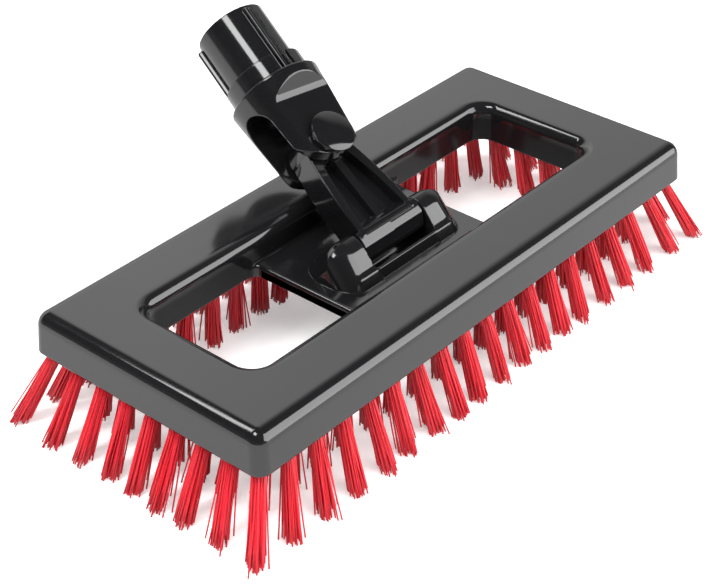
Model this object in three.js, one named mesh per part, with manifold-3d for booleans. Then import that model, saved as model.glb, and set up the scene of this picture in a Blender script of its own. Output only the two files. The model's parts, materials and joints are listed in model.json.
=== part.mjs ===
// A floor scrub brush: a moulded block with two windows and a saddle on its bridge, tufts on its four rails,
// and a two-way swivel that carries the handle socket. Millimetres, +Z up. The origin is the centre of the
// bridge's underside, +X runs along the block and +Y points to the side the socket leans to.
import * as THREE from "three";
import { mergeVertices } from "three/addons/utils/BufferGeometryUtils.js";
import Module from "manifold-3d";

const wasm = await Module();
wasm.setup();

const radians = THREE.MathUtils.degToRad;

// Clearances
const pieceGap = 0.3;
const hingeGap = 0.4;
const cutMargin = 2;

// Block
const blockLength = 230;
const blockWidth = 103;
const blockHeight = 15.2;
const sideDraft = radians(3.7);
const cornerRadius = 4.7;
const outerEdgeRadius = 4.8;
const innerEdgeRadius = 4.2;
const longRailWidth = 25.8;
const endRailWidth = 25;
const windowCornerRadius = 7;
const bridgeCornerRadius = 3;
const bridgeLength = 73;
const bridgeThickness = 4.7;

// Saddle on the bridge: a low lip all round the trough and a hump at each end of it
const lipLength = 53.2;
const lipFoot = 12.2;
const lipHeight = 8.3;
const lipLean = radians(28);
const lipCornerRadius = 3.6;
const humpLength = 62;
const humpHeight = 18;
const humpFoot = 9.9;
const humpSlope = radians(52);
const humpEndLean = radians(5);
const humpEndRadius = 8.5;
const humpCrown = 2.2;
const tiltAxisY = -2.2;
const tiltAxisZ = 11.4;
const saddleFloor = 1.6;

// Tilt axle
const axleRadius = 2.5;
const axleLength = 46;

// Swivel link, in its own frame: +Y from the tilt axis to the swing pin, +Z out of its front face
const linkTilt = radians(33.2);
const linkReach = 36.6;
const linkThickness = 12;
const linkEyeRadius = 9;
const linkRootWidth = 26.8;
const linkRootStart = 3.5;
const linkWaist = 1.85;
const flangeRootWidth = 2.6;
const flangeTopWidth = 4;
const ribWidth = 3.4;
const grooveDepth = 3.4;
const grooveStart = 3.2;
const grooveEnd = 28.6;
const barrelRadius = 6.4;
const knuckleWidth = 30.8;
const bevelStart = 1.1;
const bevelEnd = -1.8;
const bevelDrop = 0.8;
const footLength = 8.2;
const footThickness = 2.4;
const footTip = 0.4;

// Handle socket, in its own frame: +Y from the swing pin to the rim, +Z out of the near ear
const socketSwing = radians(7);
const sleeveRadius = 13.2;
const sleeveEnd = 57;
const boreRadius = 10.9;
const boreDepth = 32;
const collarRadius = 15.2;
const collarEnd = 35.2;
const forkRadius = 17.8;
const forkEnd = 27.8;
const forkTaper = radians(5);
const forkEdgeRadius = 1;
const earFlat = 11.9;
const flatEnd = 19.2;
const rampRise = radians(50);
const earNoseRadius = 10.3;
const earNoseCentre = 3;
const earNoseLean = radians(30);
const slotGap = 1.2;
const slotEnd = 20.8;
const ribCount = 3;
const ribTurn = radians(-4);
const sleeveRibWidth = 1.7;
const sleeveRibRadius = 15.1;
const sleeveRibEnd = 55.4;
const notchLeft = 2.6;
const notchRight = 4.4;

// Swing pin and its cap, which is the lower of the two so that it clears the rail behind it
const pinRadius = 4;
const headRadius = 8;
const headRim = 2.2;
const headEdge = 0.4;
const headCrown = 1.2;
const capRadius = 6.5;
const capRim = 1.3;
const capCrown = 1.2;
const capBoreDepth = 1.6;

// Bristles
const bristleHeight = 28;
const backingThickness = 2;
const rowInset = 6.5;
const rowSpacing = 9.5;
const longTufts = 19;
const endTufts = 9;
const strandsPerTuft = 5;
const strandWidth = 1.5;
const tuftRootRadius = 1.5;
const tuftTipRadius = 2.6;
const longSplay = 10;
const endSplay = 13.5;
const innerSplay = 1.5;
const longFan = 13;
const endFan = 10;
const backingMargin = 3.6;

// Materials
const blackPlastic = { color: 0x0c0c0d, roughness: 0.22, metalness: 0 };
const redFilament = { color: 0xd3121f, roughness: 0.45, metalness: 0 };
const steel = { color: 0xb9bbbe, roughness: 0.35, metalness: 1 };

// Sizes that follow from the ones above
const windowHalfWidth = blockWidth / 2 - longRailWidth;
const windowOuterEnd = blockLength / 2 - endRailWidth;
const windowInnerEnd = bridgeLength / 2;
const knuckleHalf = knuckleWidth / 2;
const cheekHalf = knuckleHalf + hingeGap;
const troughRadius = tiltAxisZ - saddleFloor;
const slotHalf = linkThickness / 2 + slotGap;
const quarterTurn = Math.PI / 2;
const arcSteps = 5;
const ballSteps = 10;
const cornerSteps = 6;
const humpSteps = 14;
const humpEndSteps = 6;
const roundSegments = 40;

// Solid modelling helpers

function solidOf(geometry) {
  const bare = geometry.index ? geometry.toNonIndexed() : geometry.clone();
  bare.deleteAttribute("normal");
  bare.deleteAttribute("uv");
  const merged = mergeVertices(bare, 1e-4);
  const vertProperties = merged.attributes.position.array;
  const triVerts = new Uint32Array(merged.index.array);
  return new wasm.Manifold(new wasm.Mesh({ numProp: 3, vertProperties, triVerts }));
}

function meshOf(solid, name, look) {
  const made = solid.getMesh();
  const geometry = new THREE.BufferGeometry();
  geometry.setAttribute("position", new THREE.BufferAttribute(made.vertProperties, 3));
  geometry.setIndex(new THREE.BufferAttribute(made.triVerts, 1));
  geometry.computeVertexNormals();
  const mesh = new THREE.Mesh(geometry, new THREE.MeshStandardMaterial(look));
  mesh.name = name;
  return mesh;
}

// A closed skin over rings of equal length, each a list of [x, y, z], with flat ends.
function loft(rings) {
  const size = rings[0].length;
  const index = [];
  for (let ring = 0; ring + 1 < rings.length; ring++) {
    for (let i = 0; i < size; i++) {
      const next = (i + 1) % size;
      const a = ring * size + i;
      const b = ring * size + next;
      index.push(a, b, b + size, a, b + size, a + size);
    }
  }
  const last = (rings.length - 1) * size;
  for (let i = 1; i + 1 < size; i++) {
    index.push(0, i + 1, i);
    index.push(last, last + i, last + i + 1);
  }
  const geometry = new THREE.BufferGeometry();
  geometry.setAttribute("position", new THREE.Float32BufferAttribute(rings.flat(2), 3));
  geometry.setIndex(index);
  return solidOf(geometry);
}

// A rectangle with round corners, of one radius at each end, as a counter-clockwise ring at height z.
function roundedRing(left, right, halfWidth, leftRadius, rightRadius, z) {
  const corners = [
    [right - rightRadius, halfWidth - rightRadius, rightRadius],
    [left + leftRadius, halfWidth - leftRadius, leftRadius],
    [left + leftRadius, leftRadius - halfWidth, leftRadius],
    [right - rightRadius, rightRadius - halfWidth, rightRadius],
  ];
  const ring = [];
  corners.forEach(([x, y, radius], corner) => {
    for (let step = 0; step <= cornerSteps; step++) {
      const angle = quarterTurn * (corner + step / cornerSteps);
      ring.push([x + radius * Math.cos(angle), y + radius * Math.sin(angle), z]);
    }
  });
  return ring;
}

// The steps of a quarter round: how far in and how far up each one lies, as shares of the radius.
function quarterRound() {
  const steps = [];
  for (let step = 0; step <= arcSteps; step++) {
    const angle = (quarterTurn * step) / arcSteps;
    steps.push([1 - Math.cos(angle), Math.sin(angle)]);
  }
  return steps;
}

function box(left, right, front, back, bottom, top) {
  const geometry = new THREE.BoxGeometry(right - left, back - front, top - bottom);
  geometry.translate((left + right) / 2, (front + back) / 2, (bottom + top) / 2);
  return solidOf(geometry);
}

// An outline in X and Y raised from bottom to top.
function raise(shape, bottom, top) {
  const settings = { depth: top - bottom, bevelEnabled: false, curveSegments: 10 };
  const geometry = new THREE.ExtrudeGeometry(shape, settings);
  geometry.translate(0, 0, bottom);
  return solidOf(geometry);
}

// An outline in Y and Z swept along X, centred on X = 0.
function sweepAcross(shape, width) {
  const settings = { depth: width, bevelEnabled: false, curveSegments: 10 };
  const geometry = new THREE.ExtrudeGeometry(shape, settings);
  geometry.rotateX(Math.PI / 2);
  geometry.rotateZ(Math.PI / 2);
  geometry.translate(-width / 2, 0, 0);
  return solidOf(geometry);
}

function cylinderAlongX(radius, left, right, y, z) {
  const geometry = new THREE.CylinderGeometry(radius, radius, right - left, roundSegments);
  geometry.rotateZ(Math.PI / 2);
  geometry.translate((left + right) / 2, y, z);
  return solidOf(geometry);
}

function cylinderAlongZ(radius, bottom, top) {
  const geometry = new THREE.CylinderGeometry(radius, radius, top - bottom, roundSegments);
  geometry.rotateX(Math.PI / 2);
  geometry.translate(0, 0, (bottom + top) / 2);
  return solidOf(geometry);
}

// A profile of [radius, height] points turned about the Y axis.
function turnAboutY(profile) {
  const points = profile.map(([radius, height]) => new THREE.Vector2(radius, height));
  return solidOf(new THREE.LatheGeometry(points, roundSegments));
}

function turnAboutZ(profile) {
  return turnAboutY(profile).rotate([90, 0, 0]);
}

function union(solids) {
  return solids.reduce((sum, solid) => sum.add(solid));
}

// Block

function outerBody() {
  const straight = blockHeight - outerEdgeRadius;
  const ringAt = (inset, z) => {
    const half = blockLength / 2 - inset;
    const radius = Math.max(cornerRadius - inset, 0.1);
    return roundedRing(-half, half, blockWidth / 2 - inset, radius, radius, z);
  };
  const lean = straight * Math.tan(sideDraft);
  const rings = [ringAt(0, 0)];
  for (const [inward, upward] of quarterRound()) {
    rings.push(ringAt(lean + inward * outerEdgeRadius, straight + upward * outerEdgeRadius));
  }
  return loft(rings);
}

// The window at one end, with its top edge rounded into the rails.
function windowCut(side) {
  const straight = blockHeight - innerEdgeRadius;
  const left = Math.min(side * windowInnerEnd, side * windowOuterEnd);
  const right = Math.max(side * windowInnerEnd, side * windowOuterEnd);
  const leftRadius = side < 0 ? windowCornerRadius : bridgeCornerRadius;
  const rightRadius = side < 0 ? bridgeCornerRadius : windowCornerRadius;
  const ringAt = (flare, z) =>
    roundedRing(
      left - flare,
      right + flare,
      windowHalfWidth + flare,
      leftRadius + flare,
      rightRadius + flare,
      z,
    );
  const rings = [ringAt(0, -cutMargin)];
  for (const [inward, upward] of quarterRound()) {
    rings.push(ringAt(inward * innerEdgeRadius, straight + upward * innerEdgeRadius));
  }
  rings.push(ringAt(innerEdgeRadius, blockHeight + cutMargin));
  return loft(rings);
}

// The space over the bridge, with the same rounded edges along the two long rails.
function bridgeCut() {
  const straight = blockHeight - innerEdgeRadius;
  const top = blockHeight + cutMargin;
  const shape = new THREE.Shape();
  shape.moveTo(-windowHalfWidth, bridgeThickness);
  shape.lineTo(windowHalfWidth, bridgeThickness);
  for (const [inward, upward] of quarterRound()) {
    shape.lineTo(windowHalfWidth + inward * innerEdgeRadius, straight + upward * innerEdgeRadius);
  }
  shape.lineTo(windowHalfWidth + innerEdgeRadius, top);
  shape.lineTo(-windowHalfWidth - innerEdgeRadius, top);
  for (const [inward, upward] of quarterRound().reverse()) {
    shape.lineTo(-windowHalfWidth - inward * innerEdgeRadius, straight + upward * innerEdgeRadius);
  }
  return sweepAcross(shape, bridgeLength + 4 * windowCornerRadius);
}

// The saddle's low lip, which leans in from its foot on the bridge.
function saddleLip() {
  const ringAt = (z) => {
    const inset = Math.max(z - bridgeThickness, 0) * Math.tan(lipLean);
    const half = lipLength / 2 - inset;
    return roundedRing(-half, half, lipFoot - inset, lipCornerRadius, lipCornerRadius, z);
  };
  const rings = [ringAt(bridgeThickness / 2), ringAt(bridgeThickness), ringAt(lipHeight)];
  return loft(rings).translate([0, tiltAxisY, 0]);
}

// The lower of two heights, blended over a band where they are close.
function blendedMin(a, b, band) {
  const near = Math.max(band - Math.abs(a - b), 0) / band;
  return Math.min(a, b) - (band * near * near) / 4;
}

// The humps' side outline, drawn in by an inset: distance from the tilt axis and height, from front to back.
function humpOutline(inset) {
  const bottom = bridgeThickness / 2;
  const foot = humpFoot - inset / Math.sin(humpSlope);
  const wide = foot + (lipHeight - bottom) / Math.tan(humpSlope);
  const top = humpHeight - inset;
  const half = [];
  for (let step = 0; step < humpSteps; step++) {
    const y = wide * (1 - step / humpSteps);
    const slope = lipHeight + (foot - y) * Math.tan(humpSlope);
    half.push([y, step === 0 ? bottom : blendedMin(slope, top, humpCrown)]);
  }
  const crown = [0, blendedMin(lipHeight + foot * Math.tan(humpSlope), top, humpCrown)];
  const front = half.map(([y, z]) => [-y, z]);
  return [...front, crown, ...half.reverse()];
}

// A ridge over the trough that rounds off at both ends.
function humpRidge() {
  const half = humpLength / 2;
  const rounds = [];
  for (let step = humpEndSteps; step >= 0; step--) {
    const angle = (quarterTurn * step) / humpEndSteps;
    rounds.push([half - humpEndRadius * (1 - Math.sin(angle)), humpEndRadius * (1 - Math.cos(angle))]);
  }
  const ringAt = (side, [reach, inset]) => {
    const share = (reach - half + humpEndRadius) / humpEndRadius;
    return humpOutline(inset).map(([y, z]) => {
      const lean = share * (z - bridgeThickness) * Math.tan(humpEndLean);
      return [side * (reach - lean), tiltAxisY + y, z];
    }).reverse();
  };
  const left = rounds.map((round) => ringAt(-1, round));
  const right = [...rounds].reverse().map((round) => ringAt(1, round));
  return loft([...left, ...right]);
}

// The gap between the humps' cheeks, above the lip.
function cheekGap() {
  const deep = 2 * lipFoot;
  return box(-cheekHalf, cheekHalf, tiltAxisY - deep, tiltAxisY + deep, 0, humpHeight + cutMargin);
}

// The round trough under the knuckle, which reaches down into the bridge.
function trough() {
  return cylinderAlongX(troughRadius, -cheekHalf, cheekHalf, tiltAxisY, tiltAxisZ);
}

// The axle goes in from the right, so its bore is open on that side and blind on the other.
function axleBore() {
  const bore = axleRadius + pieceGap;
  const blind = -axleLength / 2 - pieceGap;
  return cylinderAlongX(bore, blind, bridgeLength / 2, tiltAxisY, tiltAxisZ);
}

function makeBlock(channels) {
  let solid = outerBody();
  solid = solid.subtract(windowCut(-1)).subtract(windowCut(1)).subtract(bridgeCut());
  solid = solid.add(saddleLip()).add(humpRidge().subtract(cheekGap()));
  solid = solid.subtract(trough()).subtract(axleBore());
  return meshOf(solid.subtract(channels), "brush_block", blackPlastic);
}

// Bristles

const outerX = blockLength / 2 - rowInset;
const outerY = blockWidth / 2 - rowInset;
const longPitch = (2 * outerX) / (longTufts - 1);
const endPitch = (2 * outerY) / (endTufts - 1);
const innerX = outerX - longPitch;
const innerY = outerY - rowSpacing;
const innerEndTufts = endTufts - 2;
const innerEndPitch = (2 * innerY) / (innerEndTufts - 1);

const cubeOf = (value) => value * value * value;

// Where a tuft's centre line meets the floor: rows lean out of the block and fan out towards the corners.
function tipOf(x, y) {
  const fanX = longFan * cubeOf(x / outerX);
  const fanY = endFan * cubeOf(y / outerY);
  const onLongEdge = Math.abs(Math.abs(y) - outerY) < 1e-6;
  const onEndEdge = Math.abs(Math.abs(x) - outerX) < 1e-6;
  if (onLongEdge && onEndEdge) return [x + Math.sign(x) * endSplay, y + Math.sign(y) * longSplay];
  if (onLongEdge) return [x + fanX, y + Math.sign(y) * longSplay];
  if (onEndEdge) return [x + Math.sign(x) * endSplay, y + fanY];
  const onInnerEnd = Math.abs(x) > innerX - 1e-6;
  const outX = onInnerEnd ? Math.sign(x) * innerSplay : 0;
  const outY = Math.abs(y) > innerY - 1e-6 ? Math.sign(y) * innerSplay : 0;
  return [x + outX + 0.5 * fanX, y + outY];
}

// One tuft: strands of three sides, one in the middle and the rest round it, level at the root and the floor.
function tuft(x, y) {
  const [tipX, tipY] = tipOf(x, y);
  const strands = [];
  for (let strand = 0; strand < strandsPerTuft; strand++) {
    const turn = (2 * Math.PI * strand) / (strandsPerTuft - 1) + 0.4;
    const out = strand === strandsPerTuft - 1 ? 0 : 1;
    const rootAt = [x + out * tuftRootRadius * Math.cos(turn), y + out * tuftRootRadius * Math.sin(turn)];
    const tipAt = [tipX + out * tuftTipRadius * Math.cos(turn), tipY + out * tuftTipRadius * Math.sin(turn)];
    const triangle = ([centreX, centreY], z) =>
      [0, 1, 2].map((corner) => {
        const angle = turn + (2 * Math.PI * corner) / 3;
        const reach = strandWidth / Math.sqrt(3);
        return [centreX + reach * Math.cos(angle), centreY + reach * Math.sin(angle), z];
      });
    strands.push(loft([triangle(tipAt, -bristleHeight), triangle(rootAt, backingThickness / 2)]));
  }
  return strands;
}

// The places of a row's tufts, from one end to the other.
function rowPlaces(count, pitch) {
  const places = [];
  for (let i = 0; i < count; i++) places.push((i - (count - 1) / 2) * pitch);
  return places;
}

function longRailTufts(side) {
  const outer = rowPlaces(longTufts, longPitch).map((x) => [x, side * outerY]);
  const inner = rowPlaces(longTufts - 2, longPitch).map((x) => [x, side * innerY]);
  return [...outer, ...inner];
}

function endRailTufts(side) {
  const outer = rowPlaces(endTufts - 2, endPitch).map((y) => [side * outerX, y]);
  const inner = rowPlaces(innerEndTufts - 2, innerEndPitch).map((y) => [side * innerX, y]);
  return [...outer, ...inner];
}

// The slice of a rail that carries its tufts: a strip for the outer row with a shorter one for the inner row.
function longBacking(side, grow) {
  const middle = (outerY + innerY) / 2;
  const outerStrip = box(
    -outerX - backingMargin - grow,
    outerX + backingMargin + grow,
    Math.min(side * (middle - grow), side * (outerY + backingMargin + grow)),
    Math.max(side * (middle - grow), side * (outerY + backingMargin + grow)),
    0,
    backingThickness,
  );
  const innerStrip = box(
    -innerX - backingMargin - grow,
    innerX + backingMargin + grow,
    Math.min(side * (innerY - backingMargin - grow), side * (middle + grow)),
    Math.max(side * (innerY - backingMargin - grow), side * (middle + grow)),
    0,
    backingThickness,
  );
  return outerStrip.add(innerStrip);
}

function endBacking(side, grow) {
  const middle = (outerX + innerX) / 2;
  const outerReach = rowPlaces(endTufts - 2, endPitch).at(-1) + backingMargin + grow;
  const innerReach = rowPlaces(innerEndTufts - 2, innerEndPitch).at(-1) + backingMargin + grow;
  const outerStrip = box(
    Math.min(side * (middle - grow), side * (outerX + backingMargin + grow)),
    Math.max(side * (middle - grow), side * (outerX + backingMargin + grow)),
    -outerReach,
    outerReach,
    0,
    backingThickness,
  );
  const innerStrip = box(
    Math.min(side * (innerX - backingMargin - grow), side * (middle + grow)),
    Math.max(side * (innerX - backingMargin - grow), side * (middle + grow)),
    -innerReach,
    innerReach,
    0,
    backingThickness,
  );
  return outerStrip.add(innerStrip);
}

function makeBristles(name, backing, places) {
  const strands = places.flatMap(([x, y]) => tuft(x, y));
  return meshOf(backing.add(union(strands)), name, redFilament);
}

// Swivel link

// Half the link's width, wide along the root and drawn in towards the eye.
function linkHalfWidth(y) {
  const share = (y - linkRootStart) / (linkReach - linkRootStart);
  const drawIn = linkRootWidth / 2 - linkEyeRadius;
  return linkRootWidth / 2 - drawIn * Math.pow(Math.max(share, 0), linkWaist);
}

function linkPlate() {
  const sideSteps = 8;
  const side = [];
  for (let step = 0; step <= sideSteps; step++) {
    const y = THREE.MathUtils.lerp(linkRootStart, linkReach, step / sideSteps);
    side.push([linkHalfWidth(y), y]);
  }
  const shape = new THREE.Shape();
  shape.moveTo(-linkRootWidth / 2, bevelStart);
  shape.lineTo(linkRootWidth / 2, bevelStart);
  for (const [x, y] of side) shape.lineTo(x, y);
  shape.absarc(0, linkReach, linkEyeRadius, 0, Math.PI, false);
  for (const [x, y] of side.reverse()) shape.lineTo(-x, y);
  return raise(shape, -linkThickness / 2, linkThickness / 2);
}

// The knuckle's side outline: a bevel under the front plane, then a foot that narrows to a round tip.
function knuckle() {
  const half = linkThickness / 2;
  const shape = new THREE.Shape();
  shape.moveTo(linkRootStart, half);
  shape.lineTo(bevelStart, half);
  shape.lineTo(bevelEnd, half - bevelDrop);
  shape.lineTo(-footLength, footThickness / 2);
  shape.quadraticCurveTo(-footLength - 2 * footTip, 0, -footLength, -footThickness / 2);
  shape.lineTo(bevelEnd, bevelDrop - half);
  shape.lineTo(bevelStart, -half);
  shape.lineTo(linkRootStart, -half);
  return sweepAcross(shape, knuckleWidth);
}

// The groove beside the rib, narrowing with the link and rounded where it runs out under the eye.
function groove(side, front) {
  const inner = ribWidth / 2;
  const lower = linkHalfWidth(grooveStart) - flangeRootWidth;
  const upper = linkHalfWidth(grooveEnd) - flangeTopWidth;
  const rounding = (upper - inner) / 2;
  const shape = new THREE.Shape();
  shape.moveTo(side * inner, grooveStart);
  shape.lineTo(side * lower, grooveStart);
  shape.lineTo(side * upper, grooveEnd - rounding);
  shape.quadraticCurveTo(side * upper, grooveEnd, side * (upper - rounding), grooveEnd);
  shape.lineTo(side * inner, grooveEnd);
  const floor = linkThickness / 2 - grooveDepth;
  const top = linkThickness / 2 + cutMargin;
  return front > 0 ? raise(shape, floor, top) : raise(shape, -top, -floor);
}

// The round wall about the axle, which shows as a bump at the foot of each groove.
function barrel() {
  const half = linkRootWidth / 2 - flangeRootWidth / 2;
  const round = cylinderAlongX(barrelRadius, -half, half, 0, 0);
  return round.intersect(box(-half, half, bevelStart, linkReach, -linkThickness, linkThickness));
}

function makeLink() {
  let solid = linkPlate().add(knuckle());
  for (const side of [-1, 1]) {
    for (const front of [-1, 1]) solid = solid.subtract(groove(side, front));
  }
  solid = solid.add(barrel());
  solid = solid.subtract(cylinderAlongX(axleRadius + pieceGap, -knuckleWidth, knuckleWidth, 0, 0));
  const eyeBore = cylinderAlongZ(pinRadius + pieceGap, -linkThickness, linkThickness);
  solid = solid.subtract(eyeBore.translate([0, linkReach, 0]));
  return meshOf(solid, "swivel_link", blackPlastic);
}

// Handle socket

// The body before it is cut: a ball end round the pin, a cone and the bored sleeve.
function socketBody() {
  const ballRadius = forkRadius - (forkEnd - earNoseCentre) * Math.tan(forkTaper);
  const rimChamfer = (sleeveRadius - boreRadius) / 3;
  const ball = [[0, earNoseCentre - ballRadius]];
  for (let step = 1; step <= ballSteps; step++) {
    const angle = (quarterTurn * step) / ballSteps;
    ball.push([ballRadius * Math.sin(angle), earNoseCentre - ballRadius * Math.cos(angle)]);
  }
  return turnAboutY([
    ...ball,
    [forkRadius, forkEnd - forkEdgeRadius],
    [forkRadius - 0.3 * forkEdgeRadius, forkEnd - 0.3 * forkEdgeRadius],
    [forkRadius - forkEdgeRadius, forkEnd],
    [sleeveRadius, forkEnd],
    [sleeveRadius, sleeveEnd - rimChamfer],
    [sleeveRadius - rimChamfer, sleeveEnd],
    [boreRadius, sleeveEnd],
    [boreRadius, sleeveEnd - boreDepth],
    [0, sleeveEnd - boreDepth],
  ]);
}

// A copy of a solid for each rib round the sleeve.
function atEachRib(solid) {
  const copies = [];
  for (let i = 0; i < ribCount; i++) {
    const turn = ribTurn + (2 * Math.PI * i) / ribCount;
    copies.push(solid.rotate([0, THREE.MathUtils.radToDeg(turn), 0]));
  }
  return union(copies);
}

// Thin ribs along the sleeve, down to the fork.
function sleeveRibs() {
  const half = sleeveRibWidth / 2;
  const middle = (sleeveRadius + boreRadius) / 2;
  return atEachRib(box(-half, half, forkEnd - forkEdgeRadius, sleeveRibEnd, middle, sleeveRibRadius));
}

// The collar on the fork, notched where the front rib passes through it.
function collar() {
  const middle = (sleeveRadius + boreRadius) / 2;
  const bottom = forkEnd - forkEdgeRadius;
  const ring = turnAboutY([
    [middle, bottom],
    [collarRadius, bottom],
    [collarRadius, collarEnd],
    [middle, collarEnd],
    [middle, bottom],
  ]);
  const notch = box(-notchLeft, notchRight, forkEnd, 2 * collarEnd, 0, 2 * collarRadius);
  return ring.subtract(notch.rotate([0, THREE.MathUtils.radToDeg(ribTurn), 0]));
}

// The flat on one ear and the ramp that leads from it to the round body.
function earFlatCut(side) {
  const shape = new THREE.Shape();
  const far = 2 * forkRadius;
  const rampHeight = forkRadius + pieceGap - earFlat;
  const rampEnd = flatEnd + rampHeight / Math.tan(rampRise);
  shape.moveTo(-far, side * earFlat);
  shape.lineTo(flatEnd, side * earFlat);
  shape.lineTo(rampEnd, side * (forkRadius + pieceGap));
  shape.lineTo(rampEnd, side * far);
  shape.lineTo(-far, side * far);
  return sweepAcross(shape, 3 * forkRadius);
}

function slotCut() {
  const shape = new THREE.Shape();
  const far = -2 * forkRadius;
  shape.moveTo(far, -slotHalf);
  shape.lineTo(slotEnd - slotHalf, -slotHalf);
  shape.absarc(slotEnd - slotHalf, 0, slotHalf, -Math.PI / 2, Math.PI / 2, false);
  shape.lineTo(far, slotHalf);
  return sweepAcross(shape, 3 * forkRadius);
}

// The stock that the ears keep: all of it above the noses' centre, then a nose which widens inwards.
function earStock() {
  const far = 2 * forkRadius;
  const noseAt = (height) => Math.max(earNoseRadius + (earFlat - height) * Math.tan(earNoseLean), pinRadius);
  const nose = turnAboutZ([
    [0, -forkRadius],
    [noseAt(forkRadius), -forkRadius],
    [noseAt(0), 0],
    [noseAt(forkRadius), forkRadius],
    [0, forkRadius],
  ]);
  const above = box(-far, far, earNoseCentre, sleeveEnd + cutMargin, -far, far);
  return above.add(nose.translate([0, earNoseCentre, 0]));
}

function makeSocket() {
  let solid = socketBody().add(collar()).add(sleeveRibs()).intersect(earStock());
  solid = solid.subtract(earFlatCut(1)).subtract(earFlatCut(-1));
  solid = solid.subtract(slotCut());
  solid = solid.subtract(cylinderAlongZ(pinRadius + pieceGap, -forkRadius, forkRadius));
  return meshOf(solid, "handle_socket", blackPlastic);
}

// Points of a low dome, a cap of a ball, from its rim to its crown.
function domePoints(radius, rimHeight, crown) {
  const ballRadius = (radius * radius + crown * crown) / (2 * crown);
  const spread = Math.asin(radius / ballRadius);
  const points = [];
  for (let step = 0; step < arcSteps; step++) {
    const angle = spread * (1 - step / arcSteps);
    points.push([ballRadius * Math.sin(angle), rimHeight + crown - ballRadius * (1 - Math.cos(angle))]);
  }
  return [...points, [0, rimHeight + crown]];
}

function makePin() {
  const seat = earFlat + pieceGap;
  const tip = -earFlat - capBoreDepth;
  const shank = [[0, tip], [pinRadius, tip], [pinRadius, seat]];
  const rim = [[headRadius, seat], [headRadius, seat + headRim - headEdge]];
  const dome = domePoints(headRadius - headEdge, seat + headRim, headCrown);
  return meshOf(turnAboutZ([...shank, ...rim, ...dome]), "swing_pin", blackPlastic);
}

function makeCap() {
  const seat = earFlat + pieceGap;
  const bore = pinRadius + pieceGap;
  const hole = [[0, seat + capBoreDepth], [bore, seat + capBoreDepth], [bore, seat], [capRadius, seat]];
  const dome = domePoints(capRadius, seat + capRim, capCrown);
  return meshOf(turnAboutZ([...hole, ...dome]).rotate([180, 0, 0]), "pin_cap", blackPlastic);
}

// Assembly

const channels = union([
  longBacking(-1, pieceGap),
  longBacking(1, pieceGap),
  endBacking(-1, pieceGap),
  endBacking(1, pieceGap),
]);

const brush = new THREE.Group();
brush.add(makeBlock(channels));
brush.add(makeBristles("bristles_front", longBacking(-1, 0), longRailTufts(-1)));
brush.add(makeBristles("bristles_back", longBacking(1, 0), longRailTufts(1)));
brush.add(makeBristles("bristles_left", endBacking(-1, 0), endRailTufts(-1)));
brush.add(makeBristles("bristles_right", endBacking(1, 0), endRailTufts(1)));

const axle = cylinderAlongX(axleRadius, -axleLength / 2, axleLength / 2, tiltAxisY, tiltAxisZ);
brush.add(meshOf(axle, "tilt_axle", steel));

const link = new THREE.Group();
link.position.set(0, tiltAxisY, tiltAxisZ);
link.rotation.x = linkTilt;
link.add(makeLink());
brush.add(link);

const socket = new THREE.Group();
socket.position.set(0, linkReach, 0);
socket.rotation.z = -socketSwing;
socket.add(makeSocket(), makePin(), makeCap());
link.add(socket);

export default brush;
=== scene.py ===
import json
import math

import bpy
import numpy as np
from mathutils import Matrix, Quaternion, Vector


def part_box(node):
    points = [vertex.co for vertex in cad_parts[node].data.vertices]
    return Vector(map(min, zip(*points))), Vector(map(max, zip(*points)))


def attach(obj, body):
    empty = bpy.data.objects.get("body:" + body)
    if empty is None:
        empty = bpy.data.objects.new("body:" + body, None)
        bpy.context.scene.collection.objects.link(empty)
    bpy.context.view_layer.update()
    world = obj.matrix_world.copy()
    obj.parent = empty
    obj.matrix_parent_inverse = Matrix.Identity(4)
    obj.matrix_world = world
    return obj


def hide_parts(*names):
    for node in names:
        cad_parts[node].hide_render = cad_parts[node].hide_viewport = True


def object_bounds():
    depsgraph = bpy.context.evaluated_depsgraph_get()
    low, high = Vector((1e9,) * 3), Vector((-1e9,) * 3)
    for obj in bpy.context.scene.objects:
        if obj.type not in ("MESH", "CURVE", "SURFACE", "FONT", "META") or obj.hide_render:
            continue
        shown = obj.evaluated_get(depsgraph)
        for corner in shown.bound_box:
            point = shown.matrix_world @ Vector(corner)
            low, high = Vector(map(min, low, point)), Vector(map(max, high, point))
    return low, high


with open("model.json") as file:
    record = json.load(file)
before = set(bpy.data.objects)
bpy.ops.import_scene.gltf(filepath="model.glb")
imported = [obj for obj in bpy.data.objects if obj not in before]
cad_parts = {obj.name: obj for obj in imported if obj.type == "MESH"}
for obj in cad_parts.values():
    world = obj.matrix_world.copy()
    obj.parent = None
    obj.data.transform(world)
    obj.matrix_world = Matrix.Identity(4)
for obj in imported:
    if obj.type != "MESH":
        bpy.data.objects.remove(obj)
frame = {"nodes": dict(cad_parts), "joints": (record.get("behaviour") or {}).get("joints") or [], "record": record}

# A floor scrub brush. Shapes are written in millimetres, as signed fields that are negative inside the solid,
# and their meshes are scaled to metres. Z is up and X runs along the block.

cad_low, cad_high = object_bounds()
MM_PER_M = 1000.0


def joint_named(name):
    return next(joint for joint in frame["joints"] if joint["name"] == name)


def mount_named(name):
    return next(mount for mount in frame["record"]["mounts"] if mount["name"] == name)


# Places that the frame gives
block_high = np.array(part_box("brush_block")[1]) * MM_PER_M
floor_height = cad_low.z * MM_PER_M
tilt_axis = np.array(joint_named("link_tilt")["pos_m"]) * MM_PER_M
pin_centre = np.array(joint_named("socket_swing")["pos_m"]) * MM_PER_M
pin_direction = np.array(joint_named("socket_swing")["axis"])
sleeve_direction = np.array(mount_named("socket_rim")["axis"])
rim_centre = np.array(mount_named("socket_rim")["pos_m"]) * MM_PER_M
link_reach = float(np.linalg.norm(pin_centre - tilt_axis))
sleeve_end = float((rim_centre - pin_centre) @ sleeve_direction)

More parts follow.
